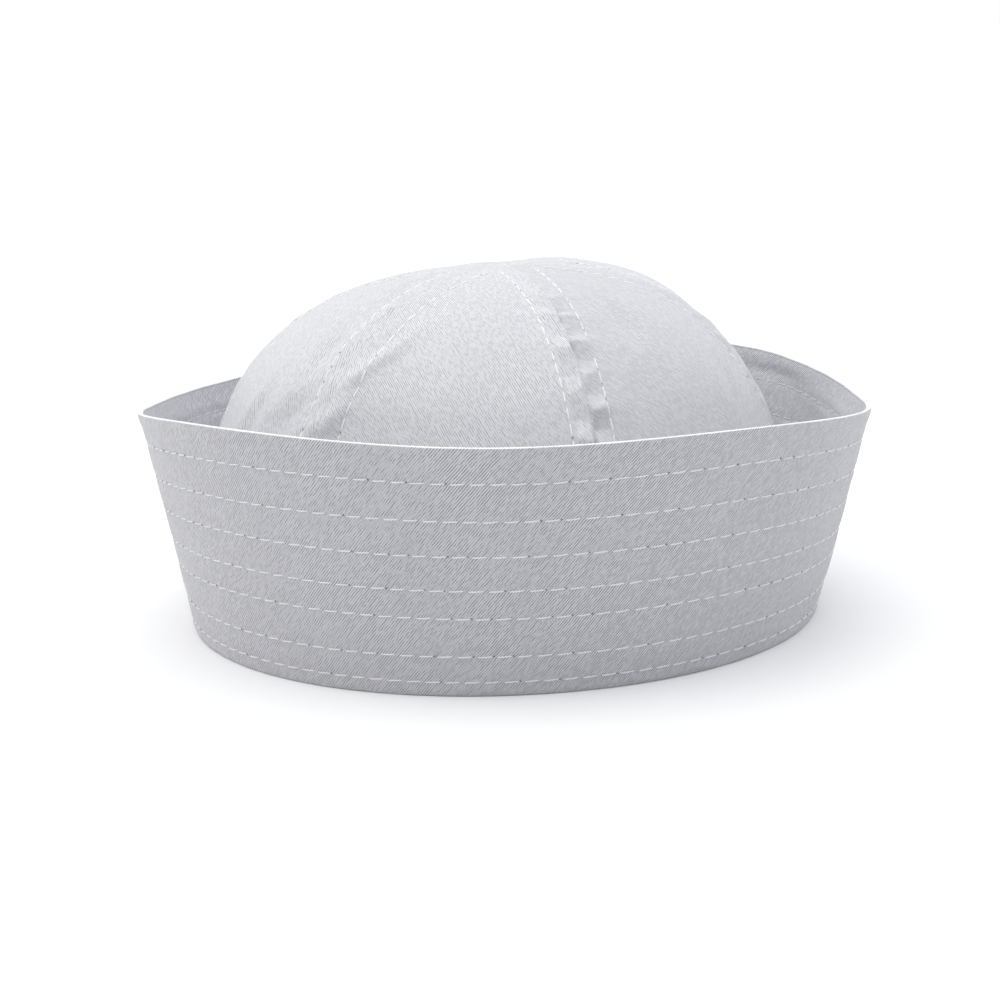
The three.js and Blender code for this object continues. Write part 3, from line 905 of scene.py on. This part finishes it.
class CAP_OT_brim(bpy.types.Operator):
    """Sews the two plies of the turned-up brim"""

    bl_idname = "sailor_cap.brim"
    bl_label = "Brim plies"

    def execute(self, context):
        crown, brim = context.scene.cap_crown, context.scene.cap_brim
        azimuth = BRIM_JOIN + np.linspace(0.0, 360.0, 721)[None, :-1]
        top = brim_top(brim, azimuth)
        inside = crown.wall + brim.clearance
        thick = 2 * brim.ply + brim.clearance
        outside, radius, fold = inside + thick, (thick - brim.edge_pinch) / 2, brim.fold_radius

        def level(low, high, count):
            return low + (high - low) * np.linspace(0.0, 1.0, count)[:, None]

        def row(offset, height):
            flat = np.zeros_like(azimuth)
            return brim_points(crown, brim, azimuth, flat + offset, flat + height)

        shoulder = top - radius
        face_height = level(fold * 2, shoulder, 84)
        face = outer_face(crown, brim, azimuth, face_height)
        bend = np.radians(np.linspace(0.0, 180.0, 11))[1:-1, None]
        roll = row_relief(brim, azimuth, shoulder / top) * np.cos(bend)
        edge_offset = outside - radius + radius * np.cos(bend) + roll
        edge = brim_points(crown, brim, azimuth, edge_offset, shoulder + radius * np.sin(bend))
        flap_height = level(shoulder, shoulder - 0.004, 7)
        flap = inner_face(crown, brim, azimuth, flap_height, level(-0.00003, 0.0004, 7))
        back_offset = outside - brim.ply + np.zeros_like(azimuth)
        back = brim_points(crown, brim, azimuth, back_offset, level(shoulder - 0.001, brim.ply, 10))
        section = np.concatenate([
            row(fold / 2, 0.0),
            row((outside - fold + fold / 2) / 2, 0.0),
            row(outside - fold, 0.0),
            row(outside - fold * 0.55, fold * 0.18),
            row(outside - fold / 4, fold * 0.75),
            face,
            edge,
            flap,
            back,
            row(0.0, brim.ply),
            row(0.0, fold / 2),
        ])
        self.add_ring("brim_outer_ply", section, crown, "brim_twill_cloth")
        lid = shoulder - 0.0005
        hidden = brim_points(
            crown,
            brim,
            azimuth,
            level(inside + brim.ply, outside - brim.ply, 10),
            level(brim.ply + brim.clearance, lid, 10),
        )
        lips = [inner_face(crown, brim, azimuth, lid - drop) for drop in (0.0, 0.00004)]
        shown = inner_face(crown, brim, azimuth, level(lid - 0.0004, brim.ply + brim.clearance, 84))
        # The inner ply takes the lighter lining copy of the twill: painted light on the inside of the brim.
        self.add_ring("brim_inner_ply", np.concatenate([hidden, *lips, shown]), crown, "brim_lining_painted_light_cloth")
        return {"FINISHED"}

    def add_ring(self, node, section, crown, material):
        """Adds one ply, with the cloth's UV running round the cap and along the section."""
        columns = section.shape[1]
        round_length = math.pi * crown.head_width
        u = np.linspace(0.0, round_length, columns + 1)
        steps = np.linalg.norm(np.diff(section[:, 0], axis=0), axis=-1)
        v = np.concatenate([[0.0], np.cumsum(steps)])
        piece = ring_piece(f"{node}_cloth", section, u, v)
        finish_piece(piece, material, "brim_twill", node)


class CAP_OT_stitches(bpy.types.Operator):
    """Runs the lockstitch rows round the brim and along the crown seams"""

    bl_idname = "sailor_cap.stitches"
    bl_label = "Stitches"

    def execute(self, context):
        scene = context.scene
        crown, brim, thread = scene.cap_crown, scene.cap_brim, scene.cap_thread
        lines = brim_stitches(crown, brim, thread, outer_face, True)
        self.add_dashes("brim_stitches_outside", lines, thread, 0.85, "brim_thread")
        # Dark pods of painted shade stand in for the shadow inside the brim's needle holes.
        self.add_holes("brim_needle_holes", lines, thread.hole, 0.3, "brim_twill")
        lines = brim_stitches(crown, brim, thread, inner_face, False)
        self.add_dashes("brim_stitches_inside", lines, thread, 0.7, "bobbin_thread")
        lines = self.seam_lines(crown, brim, thread)
        self.add_dashes("crown_stitches", lines, thread, 0.9, "seam_thread")
        # Dark pods of painted shade stand in for the shadow inside the crown's needle holes.
        self.add_holes("crown_needle_holes", lines, thread.hole * 0.7, 0.3, "crown_twill")
        return {"FINISHED"}

    def seam_lines(self, crown, brim, thread):
        """Stitch rows left and right of each crown seam, from under the brim to near the top."""
        climb_rows, along_rows = crown_rows(crown, brim, 400)
        place = crown.seam_width / 2
        lines = []
        for seam in CROWN_SEAM:
            for side in (-1.0, 1.0):

                def surface(climb, aside, seam=seam, side=side):
                    reach = superellipse(crown, np.full_like(climb, seam), climb)[1]
                    distance = side * place + aside
                    azimuth = seam + np.degrees(distance / (crown.head_width / 2 * reach))
                    along = np.interp(climb, climb_rows, along_rows)
                    return crown_points(crown, brim, azimuth, climb, along, 0.0)

                low, high = np.interp([0.004, 0.15], along_rows, climb_rows)
                ends = np.array([high, low])
                lines.append(
                    stitch_line(surface, ends, crown.stitch_pitch, thread.dash_share, 0.0, thread.lift * 0.6)
                )
        return lines

    def add_dashes(self, name, lines, thread, thickness, material):
        """Joins the stitches of several rows in one piece."""
        centre, along, out = (np.concatenate([line[part] for line in lines]) for part in range(3))
        piece = dash_piece(name, centre, along, out, thickness * thread.width / 2, thickness * thread.lift)
        finish_piece(piece, material, "thread")

    def add_holes(self, name, lines, hole, chance, slot):
        """Adds dark pods of painted shade for the needle holes that show beside some stitches of the rows."""
        centre, along, out = needle_holes(lines, hole, chance, len(name))
        piece = dash_piece(name, centre, along, out, hole / 2, hole / 3)
        finish_piece(piece, "needle_hole_painted_shade", slot)


class CAP_OT_stage(bpy.types.Operator):
    """Lays the floor, hangs the lights and places the camera"""

    bl_idname = "sailor_cap.stage"
    bl_label = "Stage"

    def execute(self, context):
        scene = context.scene
        stage = scene.cap_stage
        reach = stage.floor_reach
        mesh = bpy.data.meshes.new("floor")
        corners = [(-reach, -reach, 0.0), (reach, -reach, 0.0), (reach, reach, 0.0), (-reach, reach, 0.0)]
        mesh.from_pydata(corners, [], [(0, 1, 2, 3)])
        mesh.materials.append(floor_paint("floor_paint", tuple(scene.cap_colours.floor)))
        floor = bpy.data.objects.new("floor", mesh)
        scene.collection.objects.link(floor)
        for name, azimuth, height, strength, cool in SOFT_LIGHTS:
            lamp = self.hang(scene, name, azimuth, height, strength, stage.light_width)
            lamp.color = (1.0 - 0.035 * cool, 1.0, 1.0 + 0.035 * cool)
        world = bpy.data.worlds.new("white_room")
        scene.world = world
        world.use_nodes = True
        world.node_tree.nodes["Background"].inputs["Color"].default_value = (1.0, 1.0, 1.0, 1.0)
        world.cycles_visibility.diffuse = False
        world.cycles_visibility.glossy = False
        scene.view_settings.view_transform = "Standard"
        self.aim(scene, stage)
        return {"FINISHED"}

    def hang(self, scene, name, azimuth, height, strength, width):
        """Adds a far soft light of a width in the sky, from an azimuth and a height above the horizon."""
        light = bpy.data.lights.new(name, "SUN")
        light.energy = strength
        light.angle = width
        lamp = bpy.data.objects.new(name, light)
        a, h = math.radians(azimuth), math.radians(height)
        towards = Vector((math.sin(a) * math.cos(h), -math.cos(a) * math.cos(h), math.sin(h)))
        lamp.rotation_mode = "QUATERNION"
        lamp.rotation_quaternion = towards.to_track_quat("Z", "Y")
        scene.collection.objects.link(lamp)
        return light

    def aim(self, scene, stage):
        """Places the camera behind its aim, pitched down and rolled a little."""
        camera = bpy.data.cameras.new("camera")
        camera.lens = stage.camera_lens
        camera.sensor_width = 36.0
        pitch, roll = stage.camera_pitch, stage.camera_roll
        ahead = Vector((0.0, math.cos(pitch), -math.sin(pitch)))
        level, up = Vector((1.0, 0.0, 0.0)), Vector((0.0, math.sin(pitch), math.cos(pitch)))
        right = level * math.cos(roll) + up * math.sin(roll)
        top = up * math.cos(roll) - level * math.sin(roll)
        holder = bpy.data.objects.new("camera", camera)
        place = Vector(stage.camera_aim) - ahead * stage.camera_distance
        holder.matrix_world = Matrix.Translation(place) @ Matrix((right, top, -ahead)).transposed().to_4x4()
        scene.collection.objects.link(holder)
        scene.camera = holder


class CAP_PT_panel(bpy.types.Panel):
    """Lists the cap's pieces, sizes and colours in the sidebar"""

    bl_idname = "CAP_PT_panel"
    bl_label = "Sailor cap"
    bl_space_type = "VIEW_3D"
    bl_region_type = "UI"
    bl_category = "Sailor cap"

    def draw(self, context):
        layout = self.layout
        for operator in OPERATORS:
            layout.operator(operator.bl_idname)
        for group in GROUPS:
            box = layout.box()
            box.label(text=group.replace("_", " ").capitalize())
            values = getattr(context.scene, group)
            for key in values.bl_rna.properties.keys():
                if key not in ("rna_type", "name"):
                    box.prop(values, key)


OPERATORS = (CAP_OT_crown, CAP_OT_brim, CAP_OT_stitches, CAP_OT_stage)
GROUPS = {
    "cap_crown": CrownSizes,
    "cap_brim": BrimSizes,
    "cap_thread": ThreadSizes,
    "cap_colours": CapColours,
    "cap_stage": StageSizes,
}


def register():
    for kind in (*GROUPS.values(), *OPERATORS, CAP_PT_panel):
        bpy.utils.register_class(kind)
    for group, kind in GROUPS.items():
        setattr(bpy.types.Scene, group, bpy.props.PointerProperty(type=kind))


def unregister():
    for group in GROUPS:
        delattr(bpy.types.Scene, group)
    for kind in reversed((*GROUPS.values(), *OPERATORS, CAP_PT_panel)):
        bpy.utils.unregister_class(kind)


def main():
    """Makes the whole cap and its stage."""
    register()
    bpy.ops.sailor_cap.crown()
    bpy.ops.sailor_cap.brim()
    bpy.ops.sailor_cap.stitches()
    bpy.ops.sailor_cap.stage()


if __name__ == "__main__":
    main()
